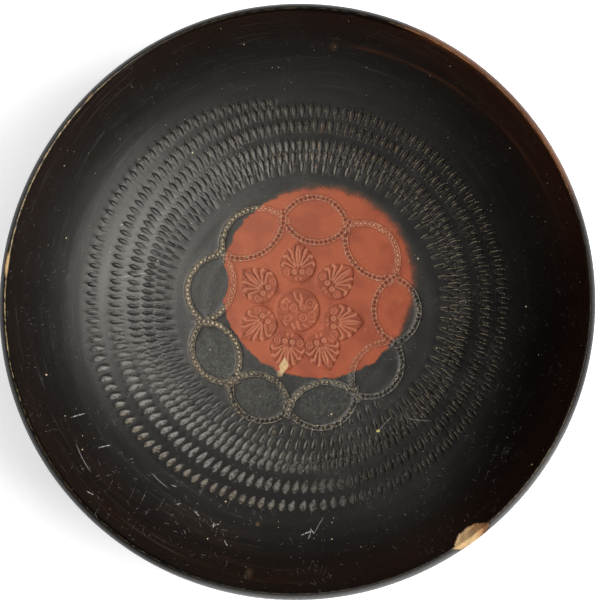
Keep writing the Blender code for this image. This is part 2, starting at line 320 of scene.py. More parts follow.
def make_strokes():
    """Centre, direction, length, width and strength of every stroke along the spiral."""
    random = np.random.default_rng(7)
    strokes = []
    turned = 0.0
    while turned < SPIRAL_TURNS * 2 * pi:
        turns = turned / (2 * pi)
        around = radians(SPIRAL_START) + turned
        radius = float(spiral_radius(turns)) + random.normal(0.0, 0.12)
        length = float(np.interp(turns, *STROKE_LENGTHS))
        length *= 1.0 + random.normal(0.0, 0.05)
        lean = STROKE_LEAN - STROKE_LEAN_SWING * cos(around - STROKE_LEAN_PEAK) + random.normal(0.0, 0.035)
        strength = float(np.clip(random.normal(1.0, 0.14), 0.6, 1.3))
        heading = around + lean
        width = float(np.interp(turns, *STROKE_WIDTHS))
        strokes.append((placed(radius, 0.0, around), heading, length, width, strength))
        late = smooth((turns - 3.9) / 1.2)
        step = STROKE_STEP * (1.0 - STROKE_STEP_SWING * sin(around))
        turned += (step + (STROKE_STEP_END - step) * late) * (1.0 + random.normal(0.0, 0.05))
    return strokes


STROKES = make_strokes()


def make_bands():
    """Every stamped arc of the chain: centre, radius, facing, opening, and how worn its beads are."""
    bands = []
    for link in range(CHAIN_LINKS):
        first = radians(KNOT_ANGLES[link])
        second = radians(KNOT_ANGLES[(link + 1) % CHAIN_LINKS])
        if second < first:
            second += 2 * pi
        heading = (first + second) / 2
        half_chord = KNOT_RADIUS * sin((second - first) / 2)
        chord_out = KNOT_RADIUS * cos((second - first) / 2)
        for apex in (LINK_OUT, LINK_IN):
            rise = abs(apex - chord_out)
            radius = (half_chord ** 2 + rise ** 2) / (2 * rise)
            side = 1 if apex > chord_out else -1
            out = apex - side * radius
            centre = placed(out, 0.0, heading, CHAIN_CENTRE)
            facing = heading if side > 0 else heading + pi
            opening = asin(min(half_chord / radius, 1.0)) + BAND_TAIL / radius
            hollow = BANDS_HOLLOW[link][0 if apex == LINK_OUT else 1]
            bands.append((centre, radius, facing, opening, hollow))
    return bands


BANDS = make_bands()


def band_coordinates(band, x, y):
    """Place along the band from its middle and across it, outwards."""
    centre, radius, facing, opening, hollow = band
    dx = x - centre[0]
    dy = y - centre[1]
    turn = np.arctan2(dy, dx) - facing
    turn = (turn + pi) % (2 * pi) - pi
    return turn * radius, np.hypot(dx, dy) - radius


def band_relief(x, y):
    """Depth of the chain's grooves, and masks for what lies in and beside them."""
    height = np.zeros_like(x)
    masks = {name: np.zeros_like(x) for name in ("groove", "bead", "ridge", "line")}
    for band in BANDS:
        along, across = band_coordinates(band, x, y)
        reach = band[1] * band[3]
        near = (np.abs(across) < BAND_HALF + 0.7) & (np.abs(along) < reach + 0.6)
        if not near.any():
            continue
        s = along[near]
        t = across[near]
        ends = smooth((reach - np.abs(s)) / 0.35 + 0.5)
        inside = smooth((BAND_HALF - np.abs(t)) / 0.2 + 0.5) * ends
        ridge = smooth(1.0 - np.abs(np.abs(t) - RIDGE_OUT) / 0.2)
        line = smooth(1.0 - np.abs(np.abs(t) - BAND_HALF + 0.02) / 0.24) * ends
        step = s - BEAD_PITCH * np.round(s / BEAD_PITCH)
        from_bead = np.hypot(step, t)
        pit = smooth((PIT_RADIUS - from_bead) / 0.2)
        dome = np.sqrt(np.clip(1.0 - (from_bead / BEAD_RADIUS) ** 2, 0.0, 1.0))
        standing = 1.0 - 0.8 * band[4]
        between = (-0.12 * (1 - pit) - BAND_DEPTH * pit + 0.10 * ridge * (1 - 0.5 * pit)
                   + 0.32 * dome * standing)
        made = inside * np.minimum(between, 0.03) - 0.14 * line
        # A later stamp overrides an earlier one where two cross
        height[near] = np.where(inside > 0.5, made, np.minimum(height[near], made))
        fresh = {"groove": (inside, inside * pit * (1 - dome * standing)),
                 "bead": (inside, inside * smooth(dome * 1.3) * (1 - band[4])),
                 "ridge": (inside, inside * (1 - pit) * (0.35 + 0.65 * ridge)),
                 "line": (inside * (1 - line), line)}
        for name, (cover, values) in fresh.items():
            masks[name][near] = np.maximum(masks[name][near] * (1 - cover), values)
    return height, masks


def distance_to_run(u, v, run):
    """Distance to a run of points, and how far along it the nearest place lies."""
    best = np.full_like(u, 1e9)
    share = np.zeros_like(u)
    pieces = len(run) - 1
    for i in range(pieces):
        ax, ay = run[i]
        bx, by = run[i + 1]
        length_squared = (bx - ax) ** 2 + (by - ay) ** 2
        t = np.clip(((u - ax) * (bx - ax) + (v - ay) * (by - ay)) / length_squared, 0.0, 1.0)
        distance = np.hypot(u - ax - t * (bx - ax), v - ay - t * (by - ay))
        closer = distance < best
        best = np.where(closer, distance, best)
        share = np.where(closer, (i + t) / pieces, share)
    return best, share


def palmette_half(v):
    """Half width of the pointed stamp at a height above its base."""
    widest = 0.43 * PALMETTE_LENGTH
    below = np.clip((widest - v) / widest, 0.0, 1.0)
    above = np.clip((v - widest) / (PALMETTE_LENGTH - widest), 0.0, 1.0)
    return PALMETTE_HALF * np.sqrt(1.0 - below ** 2.3) * (1.0 - above ** 1.75)


def leaf_runs():
    """The hooked side leaves of a palmette, as runs of points above its heart."""
    leaves = [[(0.75, 6.3), (1.95, 9.3), (2.75, 11.9), (3.3, 12.4)],
              [(1.1, 6.0), (3.2, 8.5), (4.6, 10.2), (5.3, 9.7)],
              [(1.6, 5.5), (3.9, 6.9), (5.5, 7.5), (6.15, 6.6)]]
    return [curve_through([(side * u, v) for u, v in leaf], 3) for side in (-1, 1) for leaf in leaves]


LEAF_RUNS = leaf_runs()
PALMETTE_FRAMES = [(placed(out, 0.0, radians(angle)), radians(heading), strength)
                   for angle, out, heading, strength in PALMETTES]


def palmette_relief(u, v, worn):
    """Relief of one palmette in its own frame, where its raised work lies, and where painted shade goes in
    its recesses.
    """
    edge = palmette_half(v) - np.abs(u)
    inside = smooth(edge / 0.3 + 0.3) * smooth(v / 0.3) * smooth((PALMETTE_LENGTH - v) / 0.3)
    q = np.clip((v - 5.4) / (PALMETTE_LENGTH - 0.5 - 5.4), 0.0, 1.0)
    centre_half = 0.35 + 0.85 * np.sin(pi * q ** 1.15)
    leaf = smooth((centre_half * (1.0 - q ** 6) - np.abs(u)) / 0.28) * smooth((v - 5.4) / 0.4)
    furrow = smooth((0.3 - np.abs(u + 0.15)) / 0.2) * smooth((v - 7.0) / 0.5)
    raised = [leaf * (1.0 - 0.7 * furrow)]
    wide = [smooth((centre_half + 0.45 - np.abs(u)) / 0.3) * smooth((v - 5.0) / 0.4)]
    for run in LEAF_RUNS:
        distance, share = distance_to_run(u, v, run)
        half = 0.24 + 0.42 * share * (1.25 - 0.4 * share)
        raised.append(smooth((half + 0.16 - distance) / 0.28))
        wide.append(smooth((half + 0.62 - distance) / 0.3))
    for side in (-1, 1):
        from_knob = np.hypot(u - side * 1.5, v - 3.9)
        from_volute = np.hypot(u - side * 4.35, v - 4.0)
        from_lobe = np.hypot(u - side * 0.85, (v - 1.35) * 0.8)
        raised += [smooth((1.3 - from_knob) / 0.35) * (1 - 0.4 * smooth((0.62 - from_knob) / 0.3)),
                   smooth(1.0 - np.abs(from_volute - 1.05) / 0.36), smooth((0.5 - from_volute) / 0.3),
                   0.6 * smooth((0.85 - from_lobe) / 0.5)]
        wide.append(smooth((1.75 - from_knob) / 0.35))
    raised = np.max(raised, axis=0)
    height = inside * (-PALMETTE_DEPTH + (PALMETTE_DEPTH + 0.02) * worn * raised)
    rim_line = smooth(1.0 - np.abs(edge - 0.25) / 0.4)
    # Painted shade mask: the sunk field beside the leaves and along the outline
    recess_shade = inside * np.clip(0.3 + 0.7 * np.max(wide + [rim_line], axis=0) - raised, 0.0, 1.0)
    return height, inside, inside * raised, recess_shade


def medallion_relief(x, y):
    """Roundel and palmettes: height, and masks for the painted shade of their recesses and for their tops."""
    height, groove, top = np.zeros((3, len(x)))
    for middle, heading, strength in PALMETTE_FRAMES:
        v, u = own_frame(x, y, heading, middle)
        v += PALMETTE_LENGTH / 2
        near = (np.abs(u) < PALMETTE_HALF + 1.0) & (v > -1.0) & (v < PALMETTE_LENGTH + 1.0)
        made, inside, raised, recess_shade = palmette_relief(u[near], v[near], strength)
        height[near] = np.where(inside > 0.5, made, np.minimum(height[near], made))
        groove[near] = np.maximum(groove[near], recess_shade)
        top[near] = np.maximum(top[near], raised)
    radius = np.hypot(x, y)
    inside = smooth((ROUNDEL_RADIUS - radius) / 0.4 + 0.5)
    raised = []
    for ring_x, ring_y, size in ROUNDEL_RINGS:
        from_ring = np.hypot(x - ring_x, y - ring_y)
        raised += [0.9 * smooth(1.0 - np.abs(from_ring - size) / 0.42),
                   0.7 * smooth((0.45 - from_ring) / 0.3)]
    for stem in ROUNDEL_STEMS:
        raised.append(0.9 * smooth((0.62 - distance_to_run(x, y, stem)[0]) / 0.35))
    raised = np.max(raised, axis=0)
    made = inside * (-ROUNDEL_DEPTH + 0.42 * raised)
    height = np.where(inside > 0.5, made, np.minimum(height, made))
    # Painted shade mask over the roundel's sunk field
    groove = np.maximum(groove, 0.55 * inside * (1 - raised))
    top = np.maximum(top, inside * raised)
    return height, groove, top


def stroke_edges(share, width):
    """The two edges of a stroke across it, at a share of its way outwards."""
    full = np.power(np.clip(np.sin(pi * np.clip(share, 0.0, 1.0) ** 1.3), 0.0, 1.0), 0.6)
    return full, -0.58 * width * full, 0.42 * width * full


def stroke_relief(x, y):
    """Chattered strokes: a burr, a bowed wall, and a hollow that runs out the other way."""
    height, hollow, edge = np.zeros((3, len(x)))
    for centre, heading, length, width, strength in STROKES:
        reach = length * 0.6 + 1.5
        near = np.flatnonzero((np.abs(x - centre[0]) < reach) & (np.abs(y - centre[1]) < reach))
        along, across = own_frame(x[near], y[near], heading, centre)
        outwards = along / length + STROKE_MIDDLE
        full, low, high = stroke_edges(outwards, width)
        span = np.maximum(high - low, 0.05)
        share = (across - low) / span
        inside = (share > 0.0) & (share < 1.0) & (full > 0.0)
        wall = np.sin(pi / 2 * np.clip(share / STROKE_WALL, 0.0, 1.0))
        ramp = 1.0 - 0.85 * np.clip((share - STROKE_WALL) / (1.0 - STROKE_WALL), 0.0, 1.0) ** 1.1
        end_edge = smooth((1.0 - share) * span / 0.2)
        dig = np.where(outwards < STROKE_DEEPEST, np.clip(outwards / STROKE_DEEPEST, 0.0, 1.0) ** 1.25,
                       smooth((1.0 - outwards) / (1.0 - STROKE_DEEPEST)))
        depth = STROKE_DEPTH * strength * dig * wall * ramp * end_edge * smooth(full * 2.5)
        crest = smooth(1.0 - np.abs(across - low + 0.13) / 0.24) * smooth(full * 4.0)
        far_crest = smooth(1.0 - np.abs(across - high - 0.04) / 0.22) * smooth(full * 4.0)
        burrs = STROKE_BURR * crest + 0.7 * STROKE_BURR * far_crest
        height[near] += np.where(inside, -depth, 0.0) + strength * burrs
        # The hollow mask is weaker on the steep wall; at the lower left it carries the painted highlight
        graded = smooth(full * 3.0) * (0.3 + 0.7 * smooth((share - 0.2) / 0.3))
        hollow[near] = np.maximum(hollow[near], np.where(inside, graded, 0.0))
        edge[near] = np.maximum(edge[near], np.maximum(0.7 * crest, far_crest))
    return height, hollow, edge


class PointSet:
    """Points of the plan, kept a least distance apart, first come first kept."""

    def __init__(self):
        self.points = []
        self.cells = {}
        self.cell = 0.6

    def add(self, candidates, spacing):
        reach = int(np.ceil(spacing / self.cell))
        for x, y in candidates:
            column = int(x // self.cell)
            row = int(y // self.cell)
            near = (point for i in range(column - reach, column + reach + 1)
                    for j in range(row - reach, row + reach + 1) for point in self.cells.get((i, j), ()))
            if all((px - x) ** 2 + (py - y) ** 2 >= spacing * spacing for px, py in near):
                self.points.append((x, y))
                self.cells.setdefault((column, row), []).append((x, y))


def lattice(spacing, inner, outer):
    """Triangular lattice inside a ring."""
    rows = int(outer / (spacing * 0.866)) + 2
    columns = int(outer / spacing) + 2
    made = [((column + 0.5 * (row % 2)) * spacing, row * spacing * 0.866)
            for row in range(-rows, rows + 1) for column in range(-columns, columns + 1)]
    return [(x, y) for x, y in made if inner <= hypot(x, y) <= outer]


def column_angles():
    """Angles of the columns, which crowd together at the big flake."""
    chip_angle = LIP_CHIPS[0][0]
    even = np.arange(COLUMNS) * 360.0 / COLUMNS
    away = (even - chip_angle + 180.0) % 360.0 - 180.0
    crowded = chip_angle + np.arange(-CHIP_COLUMNS, CHIP_COLUMNS + 1) * CHIP_STEP
    kept = even[np.abs(away) > CHIP_COLUMNS * CHIP_STEP + 0.3 * CHIP_STEP]
    return np.radians(np.sort(np.concatenate([kept, crowded % 360.0])))


COLUMN_ANGLES = column_angles()


def plan_points():
    """Every point of the inner surface in plan; the first ones, a column each, lie on the lip."""
    plan = PointSet()
    plan.add(ring_points(lip_radius, COLUMN_ANGLES).tolist(), 0.01)
    count = len(plan.points)
    turn = radians(LIP_CHIPS[0][0])
    patch = [(x, y) for x, y in lattice(0.5, 0.0, 10.0) if abs(x) < 9.5 and -8.5 < y < -0.4]
    plan.add([placed(lip_radius + y - x * x / (2 * lip_radius), x, turn) for x, y in patch], 0.36)
    bands = []
    for centre, radius, facing, opening, hollow in BANDS:
        reach = radius * opening + 0.3
        for s in np.linspace(-reach, reach, int(2 * reach / 0.35)):
            bands += [placed(radius + t, 0.0, facing + s / radius, centre) for t in BAND_ROWS]
    plan.add(bands, 0.21)
    for middle, heading, strength in PALMETTE_FRAMES:
        inside = []
        for u, v in lattice(0.36, 0.0, 9.2):
            up = v + PALMETTE_LENGTH / 2
            if -0.6 < up < PALMETTE_LENGTH + 0.5 and abs(u) < float(palmette_half(np.array(up))) + 0.6:
                inside.append(placed(v, u, heading, middle))
        plan.add(inside, 0.28)
    plan.add(lattice(0.4, 0.0, ROUNDEL_RADIUS + 0.8), 0.28)
    strokes = []
    for centre, heading, length, width, strength in STROKES:
        for share in (0.0, 0.14, 0.34, 0.56, 0.76, 0.91, 1.0):
            full, low, high = (float(value) for value in stroke_edges(share, width))
            span = high - low
            strokes += [placed((share - STROKE_MIDDLE) * length, across, heading, centre)
                        for across in (low - 0.36, low - 0.13, low + 0.02, low + 0.2 * span,
                                       low + STROKE_WALL * span, high - 0.18, high + 0.05, high + 0.36)]
    plan.add(strokes, 0.17)
    plan.add(lattice(LATTICE_FLOOR, 0.0, FLOOR_LATTICE_END), 0.8 * LATTICE_FLOOR)
    plan.add([placed(lip_radius - inset, 0.0, turn) for inset in (0.4, 0.9, 1.6, 2.5, 3.6)
              for turn in COLUMN_ANGLES], 0.3)
    plan.add(lattice(LATTICE_WALL, FLOOR_LATTICE_END, lip_radius - 4.6), 0.7 * LATTICE_WALL)
    return np.array(plan.points), count


def floor_flake(x, y):
    """1 where the buff flake is missing at the tip of a palmette."""
    away_x = x - FLAKE_PLACE[0]
    away_y = y - FLAKE_PLACE[1]
    half = FLAKE_HALF * np.clip(1.0 - np.abs(away_y - 0.35) / FLAKE_LENGTH, 0.0, 1.0) ** 0.8
    return smooth((half - np.abs(away_x - 0.16 * away_y)) / 0.3 + 0.3)


def carve_chips(points):
    """Flakes broken out of the lip; gives the new points and how bare each one is."""
    bare = np.zeros(len(points))
    height = points[:, 2].copy()
    for degrees_round, length, reach_in, reach_out, depth in LIP_CHIPS:
        turn = radians(degrees_round)
        out, along = own_frame(points[:, 0], points[:, 1], turn)
        outward = out - lip_radius + along ** 2 / (2 * lip_radius)
        ragged = 1.0 + 0.05 * np.sin(1.7 * along + 0.6) + 0.03 * np.sin(4.1 * along + 1.0)
        reach = np.where(outward < 0.0, reach_in * ragged, reach_out)
        away = np.hypot(along / (length / 2), outward / reach)
        slope = np.where(outward < 0.0, 0.29 * depth * outward, -0.55 * outward)
        shell = 0.15 * np.sin(7.2 * away + 0.8 * np.sin(along)) + 0.12 * np.sin(0.9 * along + 1.4 * outward)
        floor = HEIGHT - depth * (1.0 - away ** 4) + slope + shell
        upper = (points[:, 2] > shoulder_height - 4.0) & (away < 1.0) & (outward < 2.2)
        cut = upper & (height > floor) & (outward > -reach_in * 1.4)
        bare = np.maximum(bare, np.where(cut, smooth((height - floor) / 0.3 + 0.3), 0.0))
        height = np.where(cut, floor, height)
    return np.column_stack([points[:, :2], height]), bare


MASKS = ("groove", "bead", "ridge", "line", "stamp", "top", "hollow", "edge", "lip", "bare", "inner")


def inner_surface(plan):
    """Points of the inside, raised and carved, and the masks of its marks."""
    x = plan[:, 0]
    y = plan[:, 1]
    radius = np.hypot(x, y)
    angle = np.arctan2(y, x)
    band, masks = band_relief(x, y)
    stamp, stamp_shade, stamp_top = medallion_relief(x, y)
    stroke, masks["hollow"], masks["edge"] = stroke_relief(x, y)
    in_band = smooth(np.abs(band) / 0.08)
    flake = floor_flake(x, y)
    relief = np.where(in_band > 0.5, band, np.minimum(band, stamp)) + stroke
    relief = relief * (1 - flake) - FLAKE_DEPTH * flake * (0.8 + 0.2 * np.sin(2.6 * x) * np.sin(2.2 * y))
    slopes = np.gradient(INSIDE[:, 1]) / np.maximum(np.gradient(INSIDE[:, 0]), 1e-6)
    lean = 1.0 / np.sqrt(1.0 + np.interp(radius, INSIDE[:, 0], slopes) ** 2)
    relief = relief + wobble(radius, angle, 0.0) * smooth((lip_radius - radius) / 6.0)
    z = inner_height(radius) + relief * np.minimum(1.0 / lean, 1.4)
    out = radius + out_of_round(angle) * smooth((radius - 55.0) / 50.0)
    for name in ("groove", "bead", "ridge", "line"):
        masks[name] = masks[name] * (1 - flake)
    # The stamp mask carries the painted shade of the stamped recesses
    masks["stamp"] = stamp_shade * (1 - in_band) * (1 - flake)
    masks["top"] = stamp_top * (1 - in_band) * (1 - flake)
    masks["bare"] = flake
    return ring_points(out, angle, z), masks


def outer_rows():
    """Rows of points down the outside, over the foot and into its recess, a point for each column."""
    rows = []
    for row_radius, row_height in outer_curve()[1:]:
        share = smooth((row_radius - 55.0) / 50.0)
        below_lip = smooth((HEIGHT - row_height) / 8.0)
        uneven = np.minimum(wobble(row_height * 2.0, COLUMN_ANGLES, 1.3) * below_lip, 0.05)
        out = row_radius + (out_of_round(COLUMN_ANGLES) + uneven) * share
        rows.append(ring_points(out, COLUMN_ANGLES, np.full(len(COLUMN_ANGLES), row_height)))
    return rows


def surface_mesh():
    """The whole closed surface: vertices in millimetres, faces and masks."""
    plan, count = plan_points()
    inner_points, inner_masks = inner_surface(plan)
    flat = [Vector((float(x), float(y))) for x, y in plan]
    faces = [tuple(face) for face in delaunay_2d_cdt(flat, [], [], 0, 1e-7)[2]]
    rows = outer_rows()
    points, bare = carve_chips(np.vstack([inner_points, *rows, [[0.0, 0.0, RECESS_DEPTH - 0.5]]]))
    start = len(plan)
    previous = range(count)
    for row in range(len(rows)):
        here = range(start + row * count, start + (row + 1) * count)
        for i in range(count):
            j = (i + 1) % count
            faces.append((previous[j], previous[i], here[i], here[j]))
        previous = here
    pole = len(points) - 1
    faces += [(previous[(i + 1) % count], previous[i], pole) for i in range(count)]
    masks = {name: np.zeros(len(points)) for name in MASKS}
    for name, values in inner_masks.items():
        masks[name][:start] = values
    masks["bare"] = np.maximum(masks["bare"], bare)
    masks["lip"][:count] = 1.0
    masks["inner"][:start] = 1.0
    return points, faces, masks


def add_object(name, data):
    """A new object in the scene."""
    made = bpy.data.objects.new(name, data)
    bpy.context.scene.collection.objects.link(made)
    return made


def build_bowl():
    """The bowl's mesh, with its masks as attributes of the points."""
    points, faces, masks = surface_mesh()
    mesh = bpy.data.meshes.new("bowl_glazed")
    mesh.from_pydata(points * MM, [], faces)
    mesh.update()
    for name, values in masks.items():
        attribute = mesh.attributes.new(name, "FLOAT", "POINT")
        attribute.data.foreach_set("value", values.astype(np.float32))
    mesh.shade_smooth()
    return add_object("bowl_glazed", mesh)


bowl = build_bowl()


class Value:
    """What a node gives out; sums and products of values make further nodes."""

    def __init__(self, painter, socket):
        self.math = painter.math
        self.socket = socket

    def __add__(self, other):
        return self.math("ADD", self, other)

    def __sub__(self, other):
        return self.math("SUBTRACT", self, other)

    def __rsub__(self, other):
        return self.math("SUBTRACT", other, self)

    def __mul__(self, other):
        return self.math("MULTIPLY", self, other)

    def __truediv__(self, other):
        return self.math("DIVIDE", self, other)

    def __abs__(self):
        return self.math("ABSOLUTE", self)

    __radd__ = __add__
    __rmul__ = __mul__


class Painter:
    """Builds shader nodes from short calls."""

    def __init__(self, tree, coordinates, scale):
        self.tree = tree
        texture = self.value(coordinates, "TexCoord", {})
        self.place = self.moved(texture, (scale, scale, scale), (0.0, 0.0, 0.0))
        parts = self.node("SeparateXYZ", {"Vector": self.place})
        self.x, self.y, self.z = (Value(self, parts.outputs[name]) for name in "XYZ")

    def link(self, value, socket):
        if isinstance(value, Value):
            self.tree.links.new(value.socket, socket)
        elif isinstance(value, tuple):
            socket.default_value = value + (1.0,) * (len(socket.default_value) - len(value))
        else:
            socket.default_value = value

    def node(self, kind, inputs, **settings):
        """A node with its settings made and its inputs set or linked."""
        made = self.tree.nodes.new("ShaderNode" + kind)
        for name, setting in settings.items():
            setattr(made, name, setting)
        for name, value in inputs.items():
            self.link(value, made.inputs[name])
        return made

    def value(self, output, kind, inputs, **settings):
        return Value(self, self.node(kind, inputs, **settings).outputs[output])

    def math(self, operation, first, second=0.0):
        return self.value("Value", "Math", {0: first, 1: second}, operation=operation)

    def most(self, *values):
        made = values[0]
        for value in values[1:]:
            made = self.math("MAXIMUM", made, value)
        return made

    def ramp(self, value, low, high, first=0.0, last=1.0):
        """The first number at low, the last one at high, smooth between."""
        inputs = {"Value": value, "From Min": low, "From Max": high, "To Min": first, "To Max": last}
        return self.value("Result", "MapRange", inputs, interpolation_type="SMOOTHSTEP")

    def distance(self, centre):
        """Distance in plan from a place."""
        away_x = self.x - centre[0]
        away_y = self.y - centre[1]
        return self.math("SQRT", away_x * away_x + away_y * away_y)

    def toward(self, degrees_round):
        """How far out along a direction in plan."""
        turn = radians(degrees_round)
        return self.x * cos(turn) + self.y * sin(turn)

    def side(self, degrees_round, low, high):
        """0 up to a distance along a direction in plan, 1 from the second distance on."""
        return self.ramp(self.toward(degrees_round), low, high)

    def moved(self, place, stretch, shift):
        inputs = {0: place, 1: stretch, 2: shift}
        return self.value("Vector", "VectorMath", inputs, operation="MULTIPLY_ADD")

    def polar(self, centre, out_scale, round_scale):
        """Place measured out from a centre and round the bowl, for streaks that follow the rim."""
        turn = self.math("ARCTAN2", self.y, self.x)
        inputs = {"X": self.distance(centre) * out_scale, "Y": turn * round_scale}
        return self.value("Vector", "CombineXYZ", inputs)

    def noise(self, scale, shift, detail=2.0, roughness=0.5, place=None, flat=False):
        """Noise with so many cells to the millimetre; flat noise is the same at every height."""
        moved = self.moved(place or self.place, (scale, scale, scale), (shift, 0.7 * shift, 0.3 * shift))
        inputs = {"Vector": moved, "Scale": 1.0, "Detail": detail, "Roughness": roughness}
        return self.value("Fac", "TexNoise", inputs, noise_dimensions="2D" if flat else "3D")

    def cells(self, stretch, shift, place=None):
        """Distance to the nearest of points scattered in plan, and two random numbers for each."""
        moved = self.moved(place or self.place, stretch, (shift, shift, 0.0))
        made = self.node("TexVoronoi", {"Vector": moved, "Scale": 1.0}, voronoi_dimensions="2D")
        parts = self.node("SeparateColor", {"Color": Value(self, made.outputs["Color"])})
        outputs = (made.outputs["Distance"], parts.outputs["Red"], parts.outputs["Green"])
        return (Value(self, output) for output in outputs)

    def attribute(self, name):
        return self.value("Fac", "Attribute", {}, attribute_name=name)

    def mix(self, share, first, second):
        """The first colour, and the second over a share of it."""
        return self.value(2, "Mix", {0: share, 6: first, 7: second}, data_type="RGBA", clamp_factor=True)

    def turned(self, degrees_round):
        """The place turned about the upright, so that scratches can run any way."""
        inputs = {"Vector": self.place, "Angle": radians(degrees_round)}
        return self.value("Vector", "VectorRotate", inputs, rotation_type="Z_AXIS")


# Colours as light gives them back, red, green and blue
GLAZE_DARK = (0.0020, 0.0017, 0.0014)
GLAZE_WARM = (0.0027, 0.0024, 0.0020)
GLAZE_BROWN = (0.060, 0.019, 0.0065)
GLAZE_RUST = (0.022, 0.0070, 0.0036)
SHOULDER_BROWN = (0.110, 0.040, 0.015)
LIP_ORANGE = (0.260, 0.120, 0.055)
# Pale grey and gold painted into the stroke hollows as a highlight
STROKE_HIGHLIGHT_GREY = (0.290, 0.290, 0.260)
STROKE_HIGHLIGHT_GOLD = (0.290, 0.245, 0.180)
MARK_GREY = (0.380, 0.380, 0.350)
HAZE = (0.036, 0.036, 0.033)
DUST = (0.150, 0.168, 0.138)
RED_CLAY = (0.272, 0.061, 0.025)
RED_DEEP = (0.218, 0.046, 0.021)
# Painted shade colour for the red disc's recesses
RED_SHADE = (0.060, 0.013, 0.007)
RED_PALE = (0.440, 0.185, 0.105)
RED_EDGE = (0.032, 0.017, 0.009)
OLIVE = (0.008, 0.006, 0.0035)
BUFF = (0.330, 0.240, 0.120)
GOLD = (0.220, 0.155, 0.085)
CREAM = (0.480, 0.375, 0.235)
WEB = (0.190, 0.175, 0.155)
BARE_PALE = (0.450, 0.300, 0.150)
BARE_ORANGE = (0.370, 0.180, 0.080)
SCRATCH = (0.150, 0.148, 0.138)
LICHEN = (0.480, 0.440, 0.120)
WARM_GLOSS = (1.0, 0.950, 0.880)
WHITE = (1.0, 1.0, 1.0)
FLOOR_PALE = (0.92, 0.92, 0.92)

# How rough and how glossy: the glaze, and the bare or dirty clay
GLAZE_ROUGH = 0.345
CLAY_ROUGH = 0.64
GLAZE_SPECULAR = 0.5
LEAST_SPECULAR = 0.05
GRAIN_DEPTH = 0.045

# The red disc left where the bowls were stacked in the kiln
DISC_CENTRE = (7.6, 10.3)
DISC_RADIUS = 36.9
LEFT_LINK_CENTRE = (-39.2, 10.8)
LEFT_LINK_RADIUS = 12.7

# A brown line that runs round the wall, and dust in three links: place, reach, full within, share
RING_CENTRE = (1.2, -3.4)
RING_RADIUS = 102.2
DUST_PLACES = [((-30.5, -19.5), 13.0, 8.0, 1.0), ((-13.5, -31.0), 12.0, 7.0, 0.7),
               ((10.5, -33.5), 13.0, 7.0, 0.7)]

# Turning lines in the glaze are centred a little off the middle
ARC_CENTRE = (2.0, 4.0)

# Marks in the glaze: clusters of specks and their reach; scratches, their heading and half length
SPECK_CLUSTERS = [
    ((4.3, -86.0), 4.5), ((11.5, -80.0), 4.0), ((-37.6, -78.5), 5.0), ((-30.4, -82.6), 4.0),
    ((71.5, 38.8), 5.0), ((52.0, -62.0), 6.0),
]
LONG_SCRATCHES = [
    ((8.0, -82.6), 60.0, 4.0), ((-52.0, -66.0), 138.0, 5.0), ((46.0, -42.6), 172.0, 5.6),
    ((33.4, -43.8), 48.0, 4.3), ((-80.0, -58.0), 118.0, 7.0), ((-62.0, 13.0), 12.0, 6.0),
]
BRIGHT_MARKS = [
    ((3.4, -85.6), 22.0, 2.6), ((4.6, -86.2), 71.0, 2.1), ((5.6, -85.0), 128.0, 1.5),
    ((-46.6, -67.9), 160.0, 1.3), ((-44.5, -74.7), 15.0, 0.9), ((-37.7, -78.4), 135.0, 1.7),
    ((-30.9, -82.6), 12.0, 2.0), ((-31.4, -82.8), 80.0, 1.2), ((-26.7, -89.4), 120.0, 1.4),
    ((-68.6, -86.6), 100.0, 0.9), ((-76.5, -71.1), 150.0, 1.6), ((-82.3, -41.7), 20.0, 3.2),
    ((-72.3, -53.2), 15.0, 2.6),
]
DASH_CELL = 0.36
SCRATCH_WIDTH = 0.24
MARK_WIDTH = 0.26
SCRATCH_BOW = 0.012
LICHEN_PLACE = (30.8, -46.6)

# Short scratches: heading, shift, length, width, share of the cells; specks: scale, shift, size, share
DASHES = [(18.0, 2.0, 1.5, 0.13, 0.05), (66.0, 7.0, 2.2, 0.12, 0.04), (112.0, 13.0, 4.0, 0.11, 0.03),
          (150.0, 19.0, 1.2, 0.15, 0.05)]
WIDE_SPECKS = [(0.15, 3.0, 0.32, 0.07), (0.42, 11.0, 0.14, 0.07)]
CLUSTER_SPECKS = (0.8, 21.0, 0.16, 0.30)


def red_disc(paint, fine):
    """1 on the red disc, softest at the upper right, and 1 along its edge."""
    soft = paint.side(38.0, 12.0, 38.0)
    wander = (paint.noise(0.22, 3.0, flat=True) - 0.5) * 2.4
    grain = (fine - 0.5) * (1.6 + soft * 3.4)
    away = paint.distance(DISC_CENTRE) - DISC_RADIUS + wander + grain
    inside = paint.ramp(away / (0.35 + soft * 1.5), 1.0, -1.0)
    from_link = paint.distance(LEFT_LINK_CENTRE) - LEFT_LINK_RADIUS + grain * 0.5
    clear = paint.ramp(from_link, -0.35, 0.35)
    beside = paint.ramp(abs(away + 0.2), 0.9 + soft * 2.2, 0.2)
    return inside * clear, beside * clear


def dashes(paint, degrees_round, shift, length, width, share):
    """Short straight scratches that run one way, on a share of the cells."""
    stretch = (DASH_CELL / length, DASH_CELL / width, 1.0)
    away, chance, measure = paint.cells(stretch, shift, paint.turned(degrees_round))
    return paint.ramp(away, 0.12 + measure * 0.24, 0.04) * paint.ramp(chance, 1.0 - share, 1.001 - share)


def specks(paint, scale, shift, size, share):
    """Scattered round specks of many sizes, on a share of the cells."""
    away, chance, measure = paint.cells((scale, scale, scale), shift)
    near = paint.ramp(away * (1.0 / scale) / (0.25 * size + measure * measure * size), 1.0, 0.7)
    return near * paint.math("GREATER_THAN", chance + share, 1.0)


def long_scratch(paint, middle, degrees_round, half_length, width):
    """One nearly straight scratch with a place of its own."""
    along, across = own_frame(paint.x, paint.y, radians(degrees_round), middle)
    line = paint.ramp(abs(across + along * along * SCRATCH_BOW), width, 0.25 * width)
    return line * paint.ramp(abs(along), half_length, 0.5 * half_length)


